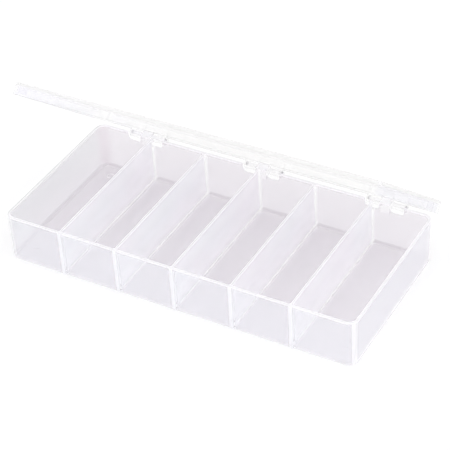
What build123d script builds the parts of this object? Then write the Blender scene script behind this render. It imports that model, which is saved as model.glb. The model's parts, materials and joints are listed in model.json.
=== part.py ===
from build123d import *
import os

# A clear frosted plastic organizer: a shallow tray with a row of open compartments, and a
# lid that turns on three hinges behind the tray's back wall. It is shown with the lid part open.
# Millimetres. The origin is the middle of the tray's underside, +X runs along the length,
# -Y is the front, +Y is the hinged back and +Z is up.

# Tray
tray_length = 230.0
tray_width = 108.0
tray_height = 32.3
tray_corner_radius = 6.0
tray_foot_radius = 2.6
tray_outer_draft = 0.6
wall = 1.7
floor_thickness = 1.6
rim_edge_radius = 0.35

# Compartments
compartment_count = 6
divider_thickness = 1.3
compartment_draft = 0.4
compartment_corner_radius = 1.2
compartment_floor_radius = 0.9

# Round marks that the mould's ejectors leave near the four corners of the floor
ejector_mark_radius = 2.4
ejector_mark_depth = 0.25
ejector_mark_inset = 11.5

# Lid, measured as it lies closed on the tray
lid_overhang = 2.5
lid_height = 7.6
lid_above_rim = 6.4
lid_corner_radius = 6.5
lid_panel = 1.5
lid_skirt = 1.4
lid_draft = 0.5
lid_top_edge_radius = 1.2
lid_inner_edge_radius = 0.7
lid_lip_edge_radius = 0.3
corner_seat_radius = 3.2
seat_clearance = 0.1

# Hinges
hinge_count = 3
left_hinge_inset = 33.8
right_hinge_inset = 31.4
hinge_behind_wall = 3.6
hinge_below_rim = 2.8
knuckle_radius = 3.0
lug_width = 6.0
lug_root_top = 1.0
lug_root_bottom = 9.0
eye_width = 9.2
eye_root_height = 5.6
end_play = 0.4
pin_diameter = 2.4
pin_end_chamfer = 0.3
running_clearance = 0.05
notch_depth = 6.2
notch_corner_radius = 3.0
lug_cutout_clearance = 0.6

# How far the lid stands open
lid_open_angle = 39.8

# How far a cut runs past the surface that it opens
cut_past = 0.3

# Places that follow from the sizes above
half_length = tray_length / 2
half_width = tray_width / 2
axis_y = half_width + hinge_behind_wall
axis_z = tray_height - hinge_below_rim
lid_top = tray_height + lid_above_rim
lid_bottom = lid_top - lid_height
lid_half_length = half_length + lid_overhang
lid_half_width = half_width + lid_overhang
inner_length = tray_length - 2 * wall
compartment_length = (inner_length - (compartment_count - 1) * divider_thickness) / compartment_count
compartment_pitch = compartment_length + divider_thickness
eye_start = lug_width / 2 + end_play
pin_half_length = eye_start + eye_width
notch_width = eye_width + 2 * end_play
pin_radius = pin_diameter / 2
knuckle_root = min(wall, lid_skirt) / 2
hinge_axis = Axis((0, axis_y, axis_z), (-1, 0, 0))


def hinge_stations():
    """Middle of each hinge along X, evenly spaced between the two that stand near the ends."""
    first = left_hinge_inset - half_length
    pitch = (tray_length - left_hinge_inset - right_hinge_inset) / (hinge_count - 1)
    return [first + number * pitch for number in range(hinge_count)]


def rod_along_x(x_low, x_high, radius):
    """A round rod on the hinge axis between two X places."""
    circle = Pos(axis_y, axis_z) * Circle(radius)
    return extrude(Plane.YZ.offset(x_low) * circle, x_high - x_low)


def knuckle(x_low, x_high, root_y, root_low, root_high):
    """A round knuckle on the hinge axis with a sloping root that grows out of a wall."""
    barrel = Pos(axis_y, axis_z) * Circle(knuckle_radius)
    root = Pos(root_y, (root_low + root_high) / 2) * Rectangle(knuckle_root, root_high - root_low)
    profile = make_hull(barrel.edges() + root.edges())
    return extrude(Plane.YZ.offset(x_low) * profile, x_high - x_low)


def tray_block():
    """The tray's outer form: drafted walls, round corners and a rounded foot."""
    outline = RectangleRounded(tray_length, tray_width, tray_corner_radius)
    block = extrude(Pos(0, 0, tray_height) * outline, -tray_height, taper=tray_outer_draft)
    return fillet(block.edges().group_by(Axis.Z)[0], tray_foot_radius)


def compartment(number):
    """The space of one compartment, whose end corners follow the tray's own corners."""
    x_middle = (number - (compartment_count - 1) / 2) * compartment_pitch
    outline = Pos(x_middle, 0) * Rectangle(compartment_length, tray_width - 2 * wall)
    by_length = outline.vertices().sort_by(Axis.X)
    left_radius = right_radius = compartment_corner_radius
    if number == 0:
        left_radius = tray_corner_radius - wall
    if number == compartment_count - 1:
        right_radius = tray_corner_radius - wall
    outline = fillet(by_length[:2], left_radius)
    outline = fillet(outline.vertices().sort_by(Axis.X)[-2:], right_radius)
    depth = tray_height - floor_thickness
    space = extrude(Pos(0, 0, tray_height) * outline, -depth, taper=compartment_draft)
    return fillet(space.edges().group_by(Axis.Z)[0], compartment_floor_radius)


def hinge_notch(x_middle):
    """The opening in the back wall in front of one lid eye, round at its lower corners."""
    outline = Rectangle(notch_width, 2 * notch_depth)
    outline = fillet(outline.vertices().group_by(Axis.Y)[0], notch_corner_radius)
    cutter = extrude(Plane.XZ * outline, wall / 2 + cut_past, both=True)
    return Pos(x_middle, half_width - wall / 2, tray_height) * cutter


def ejector_marks():
    """Shallow round cuts in the floor, one near each corner of the tray."""
    mark = extrude(Circle(ejector_mark_radius), ejector_mark_depth, both=True)
    mark_x = half_length - ejector_mark_inset
    mark_y = half_width - ejector_mark_inset
    return [Pos(sx * mark_x, sy * mark_y, floor_thickness) * mark for sx in (-1, 1) for sy in (-1, 1)]


def tray():
    """The tray moulding with its dividers, back wall notches and hinge lugs."""
    body = tray_block()
    for number in range(compartment_count):
        body -= compartment(number)
    body = fillet(body.edges().group_by(Axis.Z)[-1], rim_edge_radius)
    for mark in ejector_marks():
        body -= mark
    root_y = half_width - wall / 2
    root_low = tray_height - lug_root_bottom
    root_high = tray_height - lug_root_top
    notch_offset = (lug_width + notch_width) / 2
    bore_reach = lug_width / 2 + cut_past
    for x in hinge_stations():
        body -= hinge_notch(x - notch_offset)
        body -= hinge_notch(x + notch_offset)
        body += knuckle(x - lug_width / 2, x + lug_width / 2, root_y, root_low, root_high)
        body -= rod_along_x(x - bore_reach, x + bore_reach, pin_radius)
    return body


def lid_shell():
    """The lid's panel and skirt, closed, as a shallow tray upside down."""
    outline = RectangleRounded(2 * lid_half_length, 2 * lid_half_width, lid_corner_radius)
    block = extrude(Pos(0, 0, lid_bottom) * outline, lid_height, taper=lid_draft)
    block = fillet(block.edges().group_by(Axis.Z)[-1], lid_top_edge_radius)
    inner_half_length = lid_half_length - lid_skirt
    inner_half_width = lid_half_width - lid_skirt
    inner = RectangleRounded(2 * inner_half_length, 2 * inner_half_width, lid_corner_radius - lid_skirt)
    hollow = extrude(Pos(0, 0, lid_bottom) * inner, lid_height - lid_panel, taper=lid_draft)
    hollow = fillet(hollow.edges().group_by(Axis.Z)[-1], lid_inner_edge_radius)
    shell = block - hollow
    return fillet(shell.edges().group_by(Axis.Z)[0], lid_lip_edge_radius)


def corner_seats():
    """Four round posts inside the lid that rest over the corners of the tray's rim."""
    rim_middle = (tray_corner_radius - wall / 2) / 2 ** 0.5
    seat_x = half_length - tray_corner_radius + rim_middle
    seat_y = half_width - tray_corner_radius + rim_middle
    seat_low = tray_height + seat_clearance
    seat_high = lid_top - lid_panel / 2
    post = extrude(Circle(corner_seat_radius), seat_high - seat_low)
    places = [(sx * seat_x, sy * seat_y, seat_low) for sx in (-1, 1) for sy in (-1, 1)]
    return [Pos(*place) * post for place in places]


def lug_cutout(x):
    """The room that the back skirt leaves for one tray lug."""
    top = axis_z + knuckle_radius + lug_cutout_clearance
    height = top - lid_bottom + cut_past
    cutter = Box(2 * eye_start, lid_skirt + 2 * cut_past, height)
    return Pos(x, lid_half_width - lid_skirt / 2, top - height / 2) * cutter


def lid():
    """The lid moulding, turned open about the hinge axis."""
    body = lid_shell()
    for seat in corner_seats():
        body += seat
    root_y = lid_half_width - lid_skirt / 2
    root_low = lid_bottom + lid_lip_edge_radius
    root_high = root_low + eye_root_height
    bore_reach = pin_half_length + cut_past
    for x in hinge_stations():
        body -= lug_cutout(x)
        for low in (x - pin_half_length, x + eye_start):
            body += knuckle(low, low + eye_width, root_y, root_low, root_high)
        body -= rod_along_x(x - bore_reach, x + bore_reach, pin_radius + running_clearance)
    return body.rotate(hinge_axis, lid_open_angle)


def hinge_pin(x):
    """One plain hinge pin, pressed into the tray's lug and free in the lid's two eyes."""
    pin = rod_along_x(x - pin_half_length, x + pin_half_length, pin_radius)
    ends = pin.edges().filter_by(GeomType.CIRCLE)
    return chamfer(ends, pin_end_chamfer)


os.makedirs("parts", exist_ok=True)
export_step(tray(), "parts/tray.step")
export_step(lid(), "parts/lid.step")
for name, x in zip(("left", "middle", "right"), hinge_stations()):
    export_step(hinge_pin(x), f"parts/hinge_pin_{name}.step")
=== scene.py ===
"""Dresses a clear frosted plastic organizer box on a plain pale floor.

The tray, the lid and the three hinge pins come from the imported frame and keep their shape.
This script gives each its own frosted plastic, lights them softly and places the camera at the
photograph's angle. Lengths are in metres unless a name says otherwise.
"""

import json
import logging
import math
from collections.abc import Sequence
from dataclasses import dataclass
from enum import Enum

import bmesh
import bpy
from mathutils import Matrix, Vector


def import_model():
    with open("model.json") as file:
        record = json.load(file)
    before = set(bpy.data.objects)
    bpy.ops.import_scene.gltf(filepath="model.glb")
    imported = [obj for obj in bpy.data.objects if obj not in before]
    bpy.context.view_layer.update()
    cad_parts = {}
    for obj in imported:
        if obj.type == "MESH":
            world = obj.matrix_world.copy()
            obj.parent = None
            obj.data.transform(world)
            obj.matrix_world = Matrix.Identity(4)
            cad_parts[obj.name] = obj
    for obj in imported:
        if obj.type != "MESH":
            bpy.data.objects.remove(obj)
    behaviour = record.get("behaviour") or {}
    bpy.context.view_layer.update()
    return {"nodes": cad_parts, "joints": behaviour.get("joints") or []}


LOG = logging.getLogger("organizer")
MM = 0.001

Colour = tuple[float, float, float]
Place = tuple[float, float, float]
Span = tuple[float, float]
Socket = bpy.types.NodeSocket
WHITE: Colour = (1.0, 1.0, 1.0)


class Axis(Enum):
    """The direction that a band of the plastic is measured along."""

    X = "X"
    Y = "Y"
    Z = "Z"


class Mixture(Enum):
    """What a Mix node mixes: its kind of data, and the numbers of its two inputs and its output."""

    NUMBERS = ("FLOAT", 2, 3, 0)
    COLOURS = ("RGBA", 6, 7, 2)


class NodeBench:
    """Adds nodes to one material or world and links them."""

    def __init__(self, owner: bpy.types.ID) -> None:
        """Starts with an empty node tree.

        Args:
            owner: The material or world whose nodes are made.
        """
        owner.use_nodes = True
        self.tree = owner.node_tree
        self.tree.nodes.clear()

    def add(self, kind: str, inputs: dict | None = None, **settings: object) -> bpy.types.Node:
        """Adds one node.

        Args:
            kind: The node's type name in Blender.
            inputs: A value, or an output socket to link, for each input by name or number.
            **settings: Properties of the node itself.

        Returns:
            The new node.
        """
        node = self.tree.nodes.new(kind)
        for name, value in settings.items():
            setattr(node, name, value)
        for key, value in (inputs or {}).items():
            self.plug(node.inputs[key], value)
        return node

    def plug(self, socket: Socket, value: object) -> None:
        """Links an output into a socket, or sets the socket to a plain value.

        Args:
            socket: The input to fill.
            value: An output socket, a number, a vector or a colour of three parts.
        """
        if isinstance(value, Socket):
            self.tree.links.new(value, socket)
        elif socket.type == "RGBA" and len(value) == 3:
            socket.default_value = (*value, 1.0)
        else:
            socket.default_value = value

    def math(self, operation: str, *values: object) -> Socket:
        """Works out one number from others by an operation of the Math node."""
        return self.add("ShaderNodeMath", dict(enumerate(values)), operation=operation).outputs[0]

    def ramp(self, value: object, low: float, high: float, start: float, end: float) -> Socket:
        """Turns a number smoothly from one value to another.

        Args:
            value: The socket that drives it.
            low: Where the change starts.
            high: Where the change ends.
            start: The result up to low.
            end: The result from high on.

        Returns:
            The result's socket.
        """
        inputs = {"Value": value, "From Min": low, "From Max": high, "To Min": start, "To Max": end}
        node = self.add("ShaderNodeMapRange", inputs, interpolation_type="SMOOTHSTEP", clamp=True)
        return node.outputs["Result"]

    def mix(self, mixture: Mixture, share: object, first: object, second: object) -> Socket:
        """Mixes two numbers or two colours.

        Args:
            mixture: What is mixed.
            share: How much of the second shows, from 0 to 1.
            first: The first number or colour.
            second: The second number or colour.

        Returns:
            The result's socket.
        """
        kind, first_input, second_input, output = mixture.value
        inputs = {0: share, first_input: first, second_input: second}
        return self.add("ShaderNodeMix", inputs, data_type=kind).outputs[output]

    def mix_shaders(self, share: object, first: Socket, second: Socket) -> Socket:
        """Mixes two shaders by the share of the second."""
        return self.add("ShaderNodeMixShader", {0: share, 1: first, 2: second}).outputs[0]

    def noise(self, place: Socket, size: float, detail: float = 2.0) -> Socket:
        """Adds a cloudy pattern, near 0.5 on average, with clouds about as wide as the size."""
        inputs = {"Vector": place, "Scale": 1 / size, "Detail": detail}
        return self.add("ShaderNodeTexNoise", inputs).outputs[0]


@dataclass(frozen=True)
class Band:
    """A stretch along one axis, with soft ends.

    Attributes:
        axis: The direction it is measured along.
        low: Where it starts, or None if it has no start.
        high: Where it ends, or None if it has no end.
        blur: How far its ends take to fade.
        mirrored: True if the same stretch also lies on the other side of zero.
        pitch: The distance after which it repeats, or None if it doesn't.
    """

    axis: Axis
    low: float | None = None
    high: float | None = None
    blur: float = 0.4 * MM
    mirrored: bool = False
    pitch: float | None = None

    def mask(self, bench: NodeBench, place: dict[str, Socket]) -> Socket:
        """Adds the nodes that are 1 inside the band and 0 outside.

        Args:
            bench: Where the nodes go.
            place: The three coordinates by name.

        Returns:
            The mask's socket.
        """
        along = place[self.axis.value]
        if self.pitch is not None:
            along = bench.math("PINGPONG", along, self.pitch / 2)
        elif self.mirrored:
            along = bench.math("ABSOLUTE", along)
        fade = self.blur / 2
        sides = []
        if self.low is not None:
            sides.append(bench.ramp(along, self.low - fade, self.low + fade, 0.0, 1.0))
        if self.high is not None:
            sides.append(bench.ramp(along, self.high - fade, self.high + fade, 1.0, 0.0))
        return sides[0] if len(sides) == 1 else bench.math("MULTIPLY", *sides)


@dataclass(frozen=True)
class Ring:
    """A ring round an upright line, and its mirror images on the other sides of X and Y.

    Attributes:
        x: Where the line stands along X.
        y: Where the line stands along Y.
        radius: The ring's middle radius.
        width: How wide the ring is.
    """

    x: float
    y: float
    radius: float
    width: float

    def mask(self, bench: NodeBench, place: dict[str, Socket]) -> Socket:
        """Adds the nodes that are 1 on the ring's middle and fade to 0 at its edges.

        Args:
            bench: Where the nodes go.
            place: The three coordinates by name.

        Returns:
            The mask's socket.
        """
        across = bench.math("SUBTRACT", bench.math("ABSOLUTE", place["X"]), self.x)
        along = bench.math("SUBTRACT", bench.math("ABSOLUTE", place["Y"]), self.y)
        squares = bench.math("ADD", bench.math("POWER", across, 2.0), bench.math("POWER", along, 2.0))
        off = bench.math("ABSOLUTE", bench.math("SUBTRACT", bench.math("SQRT", squares), self.radius))
        return bench.ramp(off, 0.0, self.width / 2, 1.0, 0.0)


@dataclass(frozen=True)
class Look:
    """How the plastic looks in one place.

    Attributes:
        colour: The milky part's own colour.
        clearness: How much one surface lets straight through.
    """

    colour: Colour
    clearness: float


@dataclass(frozen=True)
class Zone:
    """A part of a moulding where the plastic looks different, such as its thick rim.

    Attributes:
        look: How the plastic looks there.
        bands: The bands and rings that it lies in, all at once.
        strength: How fully the zone changes the plastic, from 0 to 1.
    """

    look: Look
    bands: tuple[Band | Ring, ...]
    strength: float = 1.0

    def mask(self, bench: NodeBench, place: dict[str, Socket]) -> Socket:
        """Adds the nodes for the zone's mask.

        Args:
            bench: Where the nodes go.
            place: The three coordinates by name.

        Returns:
            The mask's socket, from 0 to the zone's strength.
        """
        mask = self.bands[0].mask(bench, place)
        for band in self.bands[1:]:
            mask = bench.math("MULTIPLY", mask, band.mask(bench, place))
        return bench.math("MULTIPLY", mask, self.strength)


@dataclass(frozen=True)
class FrostedPlastic:
    """Thin moulded plastic, milky and partly clear.

    Attributes:
        name: The material's name.
        colour: The milky part's own colour.
        warm: The colour that the clouds turn it to.
        tint: The colour of what is seen straight through one surface.
        clearness: How much one surface lets straight through.
        spread: How much of the milky part passes light on instead of reflecting it.
        roughness: How matt the surface is, at its smoothest and roughest.
        refraction: The plastic's index of refraction.
        cloud: How wide the clouds in the plastic are.
        cloud_edges: The values of the cloudy pattern that a cloud starts and is full at.
        patches: How many matt patches lie across the width of one cloud.
        patch_edges: The values of the patches' pattern where it is smoothest and roughest.
        grain: How wide the moulded surface's ripples are.
        grain_depth: How deep the ripples are.
    """

    name: str
    colour: Colour = (0.97, 0.985, 1.0)
    warm: Colour = (0.985, 0.972, 0.998)
    tint: Colour = (0.994, 0.993, 0.996)
    clearness: float = 0.47
    spread: float = 0.4
    roughness: Span = (0.3, 0.46)
    refraction: float = 1.49
    cloud: float = 45 * MM
    cloud_edges: Span = (0.35, 0.65)
    patches: float = 8.0
    patch_edges: Span = (0.3, 0.7)
    grain: float = 5 * MM
    grain_depth: float = 0.03 * MM

    def material(self, zones: Sequence[Zone] = (), turn: Matrix | None = None) -> bpy.types.Material:
        """Makes the material.

        Args:
            zones: Where the plastic looks different, in the order that they cover each other.
            turn: What brings the piece back to the pose that the zones are measured in.

        Returns:
            The new material.
        """
        made = bpy.data.materials.new(self.name)
        bench = NodeBench(made)
        place = bench.add("ShaderNodeTexCoord").outputs["Object"]
        if turn is not None:
            inputs = {"Location": turn.to_translation(), "Rotation": turn.to_euler()}
            place = bench.add("ShaderNodeMapping", {"Vector": place, **inputs}).outputs[0]
        split = bench.add("ShaderNodeSeparateXYZ", {0: place})
        axes = {axis.value: split.outputs[axis.value] for axis in Axis}

        clouds = bench.ramp(bench.noise(place, self.cloud), *self.cloud_edges, 0.0, 1.0)
        colour = bench.mix(Mixture.COLOURS, clouds, self.colour, self.warm)
        clearness = self.clearness
        for zone in zones:
            mask = zone.mask(bench, axes)
            clearness = bench.mix(Mixture.NUMBERS, mask, clearness, zone.look.clearness)
            colour = bench.mix(Mixture.COLOURS, mask, colour, zone.look.colour)
        ripples = bench.noise(place, self.grain, detail=1.0)
        inputs = {"Height": ripples, "Distance": self.grain_depth, "Strength": 1.0}
        bump = bench.add("ShaderNodeBump", inputs).outputs[0]
        matt = bench.noise(place, self.cloud / self.patches)
        rough = bench.ramp(matt, *self.patch_edges, *self.roughness)
        inputs = {"Base Color": colour, "Roughness": rough, "IOR": self.refraction, "Normal": bump}
        skin = bench.add("ShaderNodeBsdfPrincipled", inputs).outputs[0]
        milk = bench.add("ShaderNodeBsdfTranslucent", {"Color": colour}).outputs[0]
        body = bench.mix_shaders(self.spread, skin, milk)
        clear = bench.add("ShaderNodeBsdfTransparent", {"Color": self.tint}).outputs[0]
        surface = bench.mix_shaders(clearness, body, clear)
        bench.add("ShaderNodeOutputMaterial", {"Surface": surface})
        return made


def dress(node: bpy.types.Object, material: bpy.types.Material) -> None:
    """Gives every face of a piece the same material.

    Args:
        node: The piece.
        material: What it gets.
    """
    if not node.material_slots:
        node.data.materials.append(material)
    for slot in node.material_slots:
        slot.material = material
    LOG.info("%s dressed", node.name)


@dataclass(frozen=True)
class TrayLooks:
    """How the tray's plastic looks in each place.

    Attributes:
        lit_front_wall: The front wall, and the upright corners beside it, with painted light.
        lit_right_wall: The right wall, with painted light.
        shaded_rear_wall: The back wall, and the upright corners beside it, with painted shade.
        shaded_left_wall: The left wall, with a darker painted shade.
        shaded_low_rear_wall: The back wall's lower part, with a lighter painted shade.
        shaded_low_left_wall: The left wall's lower part, with a lighter painted shade.
        shaded_rear_corner: The rear left corner, with painted shade.
        front_corner_highlight: The front right corner, whiter and less clear: a painted highlight.
        lit_divider_foot: The dividers' lower part, whiter and less clear: painted light.
        floor: The floor, darker and greyer: painted shade.
        mark: A painted highlight on the edges of the ejector marks.
        foot_line_highlight: A painted highlight along the foot of a divider or of the right wall.
        shaded_far_foot: The foot of the back wall and of the left wall, with painted shade.
        thick_highlit_front_joint: The dividers' joints with the front wall, whiter where the plastic
        is thick, and a painted highlight.
        rear_joint_highlight: A painted highlight on the dividers' joints with the back wall.
        lit_lug: The hinge lugs, lighter and clearer: painted light.
        rim: The rim, whiter where the plastic is thick, and a painted highlight.
        shaded_left_rim: The left wall's rim, greyer: painted shade.
    """

    lit_front_wall: Look = Look((0.935, 0.955, 0.985), 0.78)
    lit_right_wall: Look = Look((0.93, 0.935, 0.97), 0.66)
    shaded_rear_wall: Look = Look((0.73, 0.67, 0.74), 0.78)
    shaded_left_wall: Look = Look((0.58, 0.56, 0.62), 0.78)
    shaded_low_rear_wall: Look = Look((0.86, 0.81, 0.87), 0.78)
    shaded_low_left_wall: Look = Look((0.78, 0.74, 0.80), 0.78)
    shaded_rear_corner: Look = Look((0.6, 0.47, 0.58), 0.78)
    front_corner_highlight: Look = Look(WHITE, 0.45)
    lit_divider_foot: Look = Look((0.995, 0.99, 1.0), 0.06)
    floor: Look = Look((0.885, 0.855, 0.885), 0.7)
    mark: Look = Look(WHITE, 0.4)
    foot_line_highlight: Look = Look((1.0, 0.97, 1.0), 0.88)
    shaded_far_foot: Look = Look((0.62, 0.56, 0.62), 0.66)
    thick_highlit_front_joint: Look = Look((0.95, 0.95, 0.975), 0.15)
    rear_joint_highlight: Look = Look(WHITE, 0.9)
    lit_lug: Look = Look(WHITE, 0.85)
    rim: Look = Look((0.98, 0.975, 0.99), 0.2)
    shaded_left_rim: Look = Look((0.92, 0.92, 0.92), 0.3)


@dataclass
class Tray:
    """The open tray with its row of compartments.

    Attributes:
        length: Outer length at the rim.
        width: Outer width at the rim.
        height: Height of the rim.
        wall: Thickness of the outer walls.
        wall_room: How far a wall's look reaches past its inner face.
        floor: Thickness of the floor.
        floor_room: How far the floor's look reaches above it.
        divider: Thickness of a divider.
        compartments: How many compartments stand in the row.
        corner: Outer radius of its upright corners.
        corner_fade: How far the painted shade in the rear left corner takes to fade.
        front_corner_highlight: How far the painted highlight on the front right corner reaches in,
            along X and along Y.
        front_corner_fade: How far that painted highlight takes to fade.
        low_height: Height that the middle of the change towards the lower parts lies at.
        wall_fade: Height that the change takes on the walls.
        divider_fade: Height that the change takes on the dividers.
        mark_inset: How far the ejector marks lie inside the rim's edges.
        mark_radius: Radius of an ejector mark's edge.
        mark_width: How wide that edge shows.
        mark_strength: How strongly it shows, from 0 to 1.
        foot_line_width: How far the foot line reaches out from a divider's face.
        foot_line_rise: Where it starts and ends, measured up from the floor.
        foot_line_start: How far behind the front wall it begins.
        under_width: How far to each side of a divider's middle it shows in the underside.
        under_rise: How far up from the underside that reaches.
        far_foot_width: How far the far walls' feet reach into the box.
        far_foot_rise: Where they start and end, measured up from the floor.
        joint_depth: How far a joint reaches out from a wall's inner face.
        joint_width: How far a joint reaches out from a divider's face, and takes to fade.
        rim_depth: How far down the rim reaches.
        edge_room: How far off the walls' faces the lugs' look begins and the left rim's ends.
        looks: How the plastic looks in each place.
        finish: The plastic that it is moulded in.
    """

    length: float = 230.0 * MM
    width: float = 108.0 * MM
    height: float = 32.3 * MM
    wall: float = 1.7 * MM
    wall_room: float = 0.6 * MM
    floor: float = 1.6 * MM
    floor_room: float = 0.3 * MM
    divider: float = 1.3 * MM
    compartments: int = 6
    corner: float = 6.0 * MM
    corner_fade: float = 7.0 * MM
    front_corner_highlight: Span = (2.2 * MM, 4.5 * MM)
    front_corner_fade: float = 1.0 * MM
    low_height: float = 13.0 * MM
    wall_fade: float = 24.0 * MM
    divider_fade: float = 16.0 * MM
    mark_inset: float = 11.5 * MM
    mark_radius: float = 2.2 * MM
    mark_width: float = 1.6 * MM
    mark_strength: float = 0.8
    foot_line_width: float = 0.5 * MM
    foot_line_rise: Span = (0.1 * MM, 1.9 * MM)
    foot_line_start: float = 2.5 * MM
    under_width: float = 2.0 * MM
    under_rise: float = 0.4 * MM
    far_foot_width: float = 1.3 * MM
    far_foot_rise: Span = (-0.4 * MM, 1.2 * MM)
    joint_depth: float = 1.4 * MM
    joint_width: float = 0.6 * MM
    rim_depth: float = 0.8 * MM
    edge_room: float = 0.3 * MM
    looks: TrayLooks = TrayLooks()
    finish: FrostedPlastic = FrostedPlastic("tray_frosted_plastic")

    @property
    def half_length(self) -> float:
        """Distance from the middle to the outside of an end wall."""
        return self.length / 2

    @property
    def half_width(self) -> float:
        """Distance from the middle to the outside of the front or back wall."""
        return self.width / 2

    @property
    def pitch(self) -> float:
        """Distance from one divider's middle to the next."""
        return (self.length - 2 * self.wall + self.divider) / self.compartments

    @property
    def end_compartment(self) -> float:
        """Distance from the middle of the row to the middle of the compartment at either end."""
        return (self.compartments - 1) / 2 * self.pitch

    def wall_zones(self) -> list[Zone]:
        """Where the outer walls look different from the dividers.

        Returns:
            The upright corners, then the walls with their lower parts, then the two corners
            that have a look of their own. The front and right walls carry painted light, the back
            and left walls painted shade, lighter on their lower parts; the rear left corner has a
            painted shade and the front right corner a painted highlight.
        """
        looks = self.looks
        wall_x = self.half_length - self.wall - self.wall_room
        wall_y = self.half_width - self.wall - self.wall_room
        corner_x = self.half_length - self.corner
        corner_y = self.half_width - self.corner
        front_x, front_y = self.front_corner_highlight
        at_ends = Band(Axis.X, low=corner_x, mirrored=True)
        at_left = Band(Axis.X, high=-wall_x)
        at_rear = Band(Axis.Y, low=wall_y)
        low_down = Band(Axis.Z, high=self.low_height, blur=self.wall_fade)
        left_end = Band(Axis.X, high=-corner_x, blur=self.corner_fade)
        rear_end = Band(Axis.Y, low=corner_y, blur=self.corner_fade)
        right_end = Band(Axis.X, low=self.half_length - front_x, blur=self.front_corner_fade)
        front_end = Band(Axis.Y, high=front_y - self.half_width, blur=self.front_corner_fade)
        return [
            # Painted light and shade: lit copies of the wall plastic on the front and right walls,
            # shaded copies on the back and left walls, with a lighter shade low down.
            Zone(looks.shaded_rear_wall, (at_ends, Band(Axis.Y, low=corner_y))),
            Zone(looks.lit_front_wall, (at_ends, Band(Axis.Y, high=-corner_y))),
            Zone(looks.shaded_left_wall, (at_left,)),
            Zone(looks.shaded_low_left_wall, (at_left, low_down)),
            Zone(looks.lit_right_wall, (Band(Axis.X, low=wall_x),)),
            Zone(looks.shaded_rear_wall, (at_rear,)),
            Zone(looks.shaded_low_rear_wall, (at_rear, low_down)),
            Zone(looks.lit_front_wall, (Band(Axis.Y, high=-wall_y),)),
            # Painted shade in the rear left corner.
            Zone(looks.shaded_rear_corner, (left_end, rear_end)),
            # Painted highlight down the front right corner.
            Zone(looks.front_corner_highlight, (right_end, front_end)),
        ]

    def floor_zones(self) -> list[Zone]:
        """Where the floor and the feet of what stands on it look different.

        Returns:
            The floor with its painted shade, the painted highlights on the ejector marks at the
            rear, the painted shade along the feet of the two far walls, and the painted highlight
            along the dividers' feet, from above and in the underside.
        """
        looks = self.looks
        inner_x = self.half_length - self.wall
        inner_y = self.half_width - self.wall
        on_floor = Band(Axis.Z, high=self.floor + self.floor_room)
        inside_x = Band(Axis.X, high=inner_x, mirrored=True)
        inside_y = Band(Axis.Y, high=inner_y, mirrored=True)
        mark_x = self.half_length - self.mark_inset
        mark_y = self.half_width - self.mark_inset
        mark = Ring(mark_x, mark_y, self.mark_radius, self.mark_width)
        rear_half = Band(Axis.Y, low=0.0)
        at_rear = Band(Axis.Y, low=inner_y - self.far_foot_width)
        at_left = Band(Axis.X, high=self.far_foot_width - inner_x)
        foot_low, foot_high = self.far_foot_rise
        at_foot = Band(Axis.Z, low=self.floor + foot_low, high=self.floor + foot_high)
        beside = Band(Axis.X, high=self.divider / 2 + self.foot_line_width, pitch=self.pitch)
        line_low, line_high = self.foot_line_rise
        above_floor = Band(Axis.Z, low=self.floor + line_low, high=self.floor + line_high)
        under = Band(Axis.X, high=self.under_width, pitch=self.pitch)
        underside = Band(Axis.Z, high=self.under_rise)
        off_left_wall = Band(Axis.X, low=-self.end_compartment)
        off_front_wall = Band(Axis.Y, low=self.foot_line_start - inner_y)
        return [
            # Painted shade: the floor is darker and greyer than the rest.
            Zone(looks.floor, (on_floor, inside_x, inside_y)),
            # Painted highlight: a lighter ring round each ejector mark at the rear.
            Zone(looks.mark, (mark, on_floor, rear_half), self.mark_strength),
            # Painted shade along the feet of the back and left walls.
            Zone(looks.shaded_far_foot, (at_rear, at_foot)),
            Zone(looks.shaded_far_foot, (at_left, at_foot)),
            # Painted highlight: a lighter, clearer line along the dividers' feet, from above and in
            # the underside.
            Zone(looks.foot_line_highlight, (beside, above_floor, off_left_wall, off_front_wall)),
            Zone(looks.foot_line_highlight, (under, underside, off_left_wall, off_front_wall)),
        ]

    def edge_zones(self) -> list[Zone]:
        """Where the edges look different: thick plastic, and painted light and shade.

        Returns:
            The dividers' joints with the front wall, whiter where thick and with a painted
            highlight, the painted highlight on their joints with the back wall, the hinge lugs with
            painted light, the rim, whiter where thick and with a painted highlight, and the painted
            shade on the left wall's rim.
        """
        looks = self.looks
        joint_y = self.half_width - self.wall - self.joint_depth
        joint_x = self.divider / 2 + self.joint_width
        across = Band(Axis.X, high=joint_x, pitch=self.pitch, blur=self.joint_width)
        between_ends = Band(Axis.X, high=self.end_compartment, mirrored=True)
        behind = Band(Axis.Y, low=self.half_width + self.edge_room)
        at_rim = Band(Axis.Z, low=self.height - self.rim_depth)
        at_left = Band(Axis.X, high=self.wall + self.edge_room - self.half_length)
        return [
            # The front joints: whiter where the plastic is thick, with a painted highlight.
            Zone(looks.thick_highlit_front_joint, (across, Band(Axis.Y, high=-joint_y))),
            # Painted highlight: the rear joints are clearer, so they show lighter.
            Zone(looks.rear_joint_highlight, (across, Band(Axis.Y, low=joint_y), between_ends)),
            # Painted light: the hinge lugs are lighter and clearer.
            Zone(looks.lit_lug, (behind,)),
            # The rim: whiter where the plastic is thick, with a painted highlight.
            Zone(looks.rim, (at_rim,)),
            # Painted shade: the left wall's rim is greyer.
            Zone(looks.shaded_left_rim, (at_rim, at_left)),
        ]

    def zones(self) -> list[Zone]:
        """Where the tray's plastic looks different, in the order that the zones cover each other.

        Returns:
            The dividers' lower part with its painted light, the walls, the floor and the edges.
        """
        low_down = Band(Axis.Z, high=self.low_height, blur=self.divider_fade)
        # Painted light: the dividers' lower part is whiter and less clear, fading out upwards.
        lit_divider_foot = Zone(self.looks.lit_divider_foot, (low_down,))
        return [lit_divider_foot, *self.wall_zones(), *self.floor_zones(), *self.edge_zones()]

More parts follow.
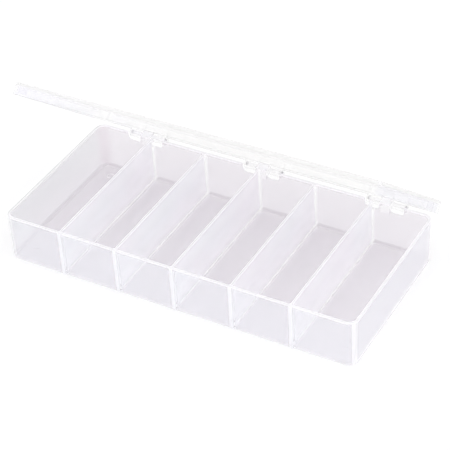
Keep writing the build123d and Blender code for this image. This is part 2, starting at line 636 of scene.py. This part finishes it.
    def dress(self, nodes: dict[str, bpy.types.Object]) -> None:
        """Gives the tray its plastic."""
        dress(nodes["tray"], self.finish.material(self.zones()))


@dataclass
class Lid:
    """The lid, which stands open on its hinges.

    Attributes:
        open_angle: How far it stands open, in degrees.
        top: Height of its top when it is closed.
        length: Outer length.
        width: Outer width.
        height: Outer height.
        panel: Thickness of the panel.
        skirt: Thickness of the skirt.
        corner: How far each way the painted light at the rear corners reaches.
        corner_fade: How far it takes to fade along X.
        left_end: Where the middle of the change towards the left end lies, along X.
        left_fade: How far that change takes.
        right_fade: How far the change towards the right end takes.
        edge_room: How far the look of the panel's edge reaches below the panel.
        edge_fade: How far it takes to fade.
        lip_rise: Where the lip's look starts and ends, measured up from the lip.
        lip_fade: How far it takes to fade.
        eye_room: How far behind the skirt the eyes' look begins.
        shaded_left_look: The left end, in a cooler, bluer tone: painted shade.
        shaded_right_look: The right end, darker: painted shade.
        thick_shaded_edge_look: The thick edge of the panel, less clear there, and darker: painted
            shade.
        shaded_lip_look: The skirt's lip, darker: painted shade.
        lit_corner_look: The rear corners of the skirt, lighter and clearer: painted light.
        lit_eye_look: The hinge eyes, lighter and clearer: painted light.
        finish: The plastic that it is moulded in.
    """

    open_angle: float = 39.8
    top: float = 38.7 * MM
    length: float = 235.0 * MM
    width: float = 113.0 * MM
    height: float = 7.6 * MM
    panel: float = 1.5 * MM
    skirt: float = 1.4 * MM
    corner: float = 9.0 * MM
    corner_fade: float = 4.0 * MM
    left_end: float = -80.0 * MM
    left_fade: float = 60.0 * MM
    right_fade: float = 2.0 * MM
    edge_room: float = 0.8 * MM
    edge_fade: float = 1.6 * MM
    lip_rise: Span = (-0.2 * MM, 0.35 * MM)
    lip_fade: float = 0.2 * MM
    eye_room: float = 0.2 * MM
    shaded_left_look: Look = Look((0.93, 0.92, 0.98), 0.78)
    shaded_right_look: Look = Look((0.84, 0.83, 0.91), 0.78)
    thick_shaded_edge_look: Look = Look((0.84, 0.84, 0.83), 0.62)
    shaded_lip_look: Look = Look((0.7, 0.7, 0.7), 0.62)
    lit_corner_look: Look = Look((0.97, 0.97, 0.99), 0.82)
    lit_eye_look: Look = Look(WHITE, 0.85)
    finish: FrostedPlastic = FrostedPlastic(
        "lid_frosted_plastic", colour=(0.93, 0.93, 0.925), warm=(0.93, 0.925, 0.925),
        tint=(0.996, 0.996, 0.995), clearness=0.78,
    )

    def closing(self, joint: dict) -> Matrix:
        """What turns the open lid shut about its hinge.

        Args:
            joint: The hinge's row in the frame.

        Returns:
            The turn as a 4x4 matrix.
        """
        pivot = Vector(joint["pos_m"])
        turn = Matrix.Rotation(math.radians(-self.open_angle), 4, Vector(joint["axis"]))
        return Matrix.Translation(pivot) @ turn @ Matrix.Translation(-pivot)

    def zones(self) -> list[Zone]:
        """Where the lid's plastic looks different, measured with the lid closed.

        Returns:
            The two ends with painted shade, the thick edge of the panel with painted shade, the
            lip with painted shade, and the rear corners and the eyes with painted light.
        """
        end, side = self.length / 2, self.width / 2
        bottom = self.top - self.height
        under_panel = self.top - self.panel
        lip_low, lip_high = self.lip_rise
        far_left = Band(Axis.X, high=self.left_end, blur=self.left_fade)
        far_right = Band(Axis.X, low=end - 2 * self.skirt, blur=self.right_fade)
        thick = Band(Axis.Z, low=under_panel - self.edge_room, blur=self.edge_fade)
        lip = Band(Axis.Z, low=bottom + lip_low, high=bottom + lip_high, blur=self.lip_fade)
        at_ends = Band(Axis.X, low=end - self.skirt, mirrored=True)
        at_sides = Band(Axis.Y, low=side - self.skirt, mirrored=True)
        near_ends = Band(Axis.X, low=end - self.corner, blur=self.corner_fade, mirrored=True)
        near_rear = Band(Axis.Y, low=side - self.corner)
        below_panel = Band(Axis.Z, high=under_panel)
        behind = Band(Axis.Y, low=side + self.eye_room)
        return [
            # Painted shade: a cooler tone towards the left end, darker at the right end.
            Zone(self.shaded_left_look, (far_left,)),
            Zone(self.shaded_right_look, (far_right,)),
            # The panel's thick edge: less clear where the plastic is thick, darker with a painted
            # shade.
            Zone(self.thick_shaded_edge_look, (thick, at_ends)),
            Zone(self.thick_shaded_edge_look, (thick, at_sides)),
            # Painted shade along the skirt's lip.
            Zone(self.shaded_lip_look, (lip, at_ends)),
            Zone(self.shaded_lip_look, (lip, at_sides)),
            # Painted light: the rear corners of the skirt are lighter and clearer.
            Zone(self.lit_corner_look, (near_ends, near_rear, below_panel)),
            # Painted light: the hinge eyes are lighter and clearer.
            Zone(self.lit_eye_look, (behind,)),
        ]

    def dress(self, nodes: dict[str, bpy.types.Object], joint: dict) -> None:
        """Gives the lid its plastic, with its zones turned shut about the hinge's joint."""
        dress(nodes["lid"], self.finish.material(self.zones(), self.closing(joint)))


@dataclass
class HingePins:
    """The three plain pins that the lid turns on.

    Attributes:
        end: How much of each end shows the painted shade.
        shaded_end_look: The ends, dark: painted shade.
        finish: The plastic of the rods.
    """

    end: float = 1.0 * MM
    shaded_end_look: Look = Look((0.5, 0.5, 0.52), 0.5)
    finish: FrostedPlastic = FrostedPlastic(
        "hinge_pin_plastic", colour=WHITE, warm=WHITE, clearness=0.88,
        cloud=5 * MM, grain=1 * MM, grain_depth=0.005 * MM,
    )

    def dress(self, nodes: dict[str, bpy.types.Object]) -> None:
        """Gives each pin its plastic.

        Args:
            nodes: The frame's pieces by name.
        """
        for name, node in nodes.items():
            if name.startswith("hinge_pin"):
                along = [corner[0] for corner in node.bound_box]
                left_end = Band(Axis.X, high=min(along) + self.end)
                right_end = Band(Axis.X, low=max(along) - self.end)
                # Painted shade: each pin is dark at both ends.
                zones = [Zone(self.shaded_end_look, (left_end,)), Zone(self.shaded_end_look, (right_end,))]
                dress(node, self.finish.material(zones))


@dataclass(frozen=True)
class SoftLamp:
    """A round soft lamp of white light that points at the middle of the box.

    Attributes:
        name: The lamp's name.
        direction: Where it hangs, seen from the box.
        distance: How far away it hangs.
        size: How wide it is.
        power: Its power in watts.
    """

    name: str
    direction: Place
    distance: float
    size: float
    power: float

    def hang(self) -> None:
        """Adds the lamp to the scene."""
        light = bpy.data.lights.new(self.name, "AREA")
        light.shape = "DISK"
        light.size = self.size
        light.energy = self.power
        light.color = WHITE
        lamp = bpy.data.objects.new(self.name, light)
        outwards = Vector(self.direction).normalized()
        lamp.location = outwards * self.distance
        lamp.rotation_mode = "QUATERNION"
        lamp.rotation_quaternion = (-outwards).to_track_quat("-Z", "Y")
        bpy.context.scene.collection.objects.link(lamp)
        LOG.info("%s hung", self.name)


@dataclass
class Studio:
    """The pale floor, the even light all round and the soft lamp in front.

    Attributes:
        bright_side: The direction that the light from all round is brightest in, of length one.
        light_levels: How bright that light is on its dim and bright sides.
        floor_size: Side of the square floor.
        floor_drop: How far the floor lies under the box, so that the two never share a face.
        floor_colour: The floor's own colour.
        floor_lift: What is added where the floor is seen, so that it is white and keeps its shadow.
        lamp: The soft lamp.
        bounces: How often light may bounce, or pass through plastic that bends it.
        diffuse_bounces: How often it may bounce off matt surfaces.
        clear_bounces: How many clear surfaces it may pass straight through.
    """

    bright_side: Place = (0.36, -0.6, 0.714)
    light_levels: Span = (0.53, 1.24)
    floor_size: float = 8.0
    floor_drop: float = 0.05 * MM
    floor_colour: Colour = (0.93, 0.93, 0.93)
    floor_lift: float = 0.03
    lamp: SoftLamp = SoftLamp("front_lamp", (0.6, -0.85, 0.3), distance=4.0, size=2.2, power=8.0)
    bounces: int = 16
    diffuse_bounces: int = 8
    clear_bounces: int = 64

    def seen(self, bench: NodeBench) -> Socket:
        """Adds the nodes that are 1 where the camera sees a surface, also by gloss or through glass.

        Args:
            bench: Where the nodes go.

        Returns:
            The socket.
        """
        path = bench.add("ShaderNodeLightPath").outputs
        mirrored = bench.math("MAXIMUM", path["Is Camera Ray"], path["Is Glossy Ray"])
        return bench.math("MAXIMUM", mirrored, path["Is Transmission Ray"])

    def light_all_round(self) -> None:
        """Makes the world: even white light, and plain white where it is seen."""
        world = bpy.data.worlds.new("studio")
        bpy.context.scene.world = world
        bench = NodeBench(world)
        direction = bench.add("ShaderNodeTexCoord").outputs["Generated"]
        inputs = {0: direction, 1: self.bright_side}
        facing = bench.add("ShaderNodeVectorMath", inputs, operation="DOT_PRODUCT").outputs["Value"]
        light_level = bench.ramp(facing, -1.0, 1.0, *self.light_levels)
        strength = bench.mix(Mixture.NUMBERS, self.seen(bench), light_level, 1.0)
        light = bench.add("ShaderNodeBackground", {"Color": WHITE, "Strength": strength}).outputs[0]
        bench.add("ShaderNodeOutputWorld", {"Surface": light})
        LOG.info("light all round made")

    def lay_floor(self) -> None:
        """Makes the pale floor that the box stands on."""
        mesh = bpy.data.meshes.new("floor")
        shape = bmesh.new()
        bmesh.ops.create_grid(shape, x_segments=1, y_segments=1, size=self.floor_size / 2)
        bmesh.ops.translate(shape, verts=shape.verts, vec=(0.0, 0.0, -self.floor_drop))
        shape.to_mesh(mesh)
        shape.free()
        floor = bpy.data.objects.new("floor", mesh)
        bpy.context.scene.collection.objects.link(floor)
        material = bpy.data.materials.new("pale_floor")
        bench = NodeBench(material)
        matt = bench.add("ShaderNodeBsdfDiffuse", {"Color": self.floor_colour}).outputs[0]
        lift = bench.math("MULTIPLY", self.seen(bench), self.floor_lift)
        glow = bench.add("ShaderNodeEmission", {"Color": WHITE, "Strength": lift}).outputs[0]
        both = bench.add("ShaderNodeAddShader", {0: matt, 1: glow}).outputs[0]
        bench.add("ShaderNodeOutputMaterial", {"Surface": both})
        mesh.materials.append(material)
        LOG.info("floor laid")

    def build(self) -> None:
        """Sets up the whole studio."""
        self.light_all_round()
        self.lay_floor()
        self.lamp.hang()
        scene = bpy.context.scene
        scene.view_settings.view_transform = "Standard"
        scene.cycles.transparent_max_bounces = self.clear_bounces
        scene.cycles.max_bounces = self.bounces
        scene.cycles.diffuse_bounces = self.diffuse_bounces
        scene.cycles.transmission_bounces = self.bounces


@dataclass(frozen=True)
class PhotoCamera:
    """The camera at the photograph's angle.

    Attributes:
        target: The point of the floor that it looks at.
        azimuth: Its direction round the box in degrees, where 0 looks along +Y.
        elevation: Its height above the floor in degrees.
        roll: How far it leans about its own line of sight, in degrees.
        distance: How far it stands from the target.
        focal_length: Its lens in millimetres.
        sensor: Its sensor's width in millimetres.
    """

    target: Place = (-12.9 * MM, 30.3 * MM, 0.0)
    azimuth: float = 31.02
    elevation: float = 37.56
    roll: float = -3.54
    distance: float = 1.0353
    focal_length: float = 134.7
    sensor: float = 36.0

    def place(self) -> None:
        """Adds the camera and makes it the scene's own."""
        azimuth, elevation = math.radians(self.azimuth), math.radians(self.elevation)
        level = math.cos(elevation)
        back = Vector((math.sin(azimuth) * level, -math.cos(azimuth) * level, math.sin(elevation)))
        data = bpy.data.cameras.new("photo_camera")
        data.lens = self.focal_length
        data.sensor_width = self.sensor
        camera = bpy.data.objects.new("photo_camera", data)
        lean = Matrix.Rotation(math.radians(self.roll), 3, "Z")
        turn = (back.to_track_quat("Z", "Y").to_matrix() @ lean).to_4x4()
        camera.matrix_world = Matrix.Translation(Vector(self.target) + back * self.distance) @ turn
        bpy.context.scene.collection.objects.link(camera)
        bpy.context.scene.camera = camera
        LOG.info("camera placed")


def main() -> None:
    """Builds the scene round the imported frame."""
    logging.basicConfig(level=logging.INFO, format="%(name)s: %(message)s")
    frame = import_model()
    nodes = frame["nodes"]
    hinge = next(joint for joint in frame["joints"] if joint["name"] == "lid_hinge")
    Studio().build()
    PhotoCamera().place()
    Tray().dress(nodes)
    Lid().dress(nodes, hinge)
    HingePins().dress(nodes)


if __name__ == "__main__":
    main()
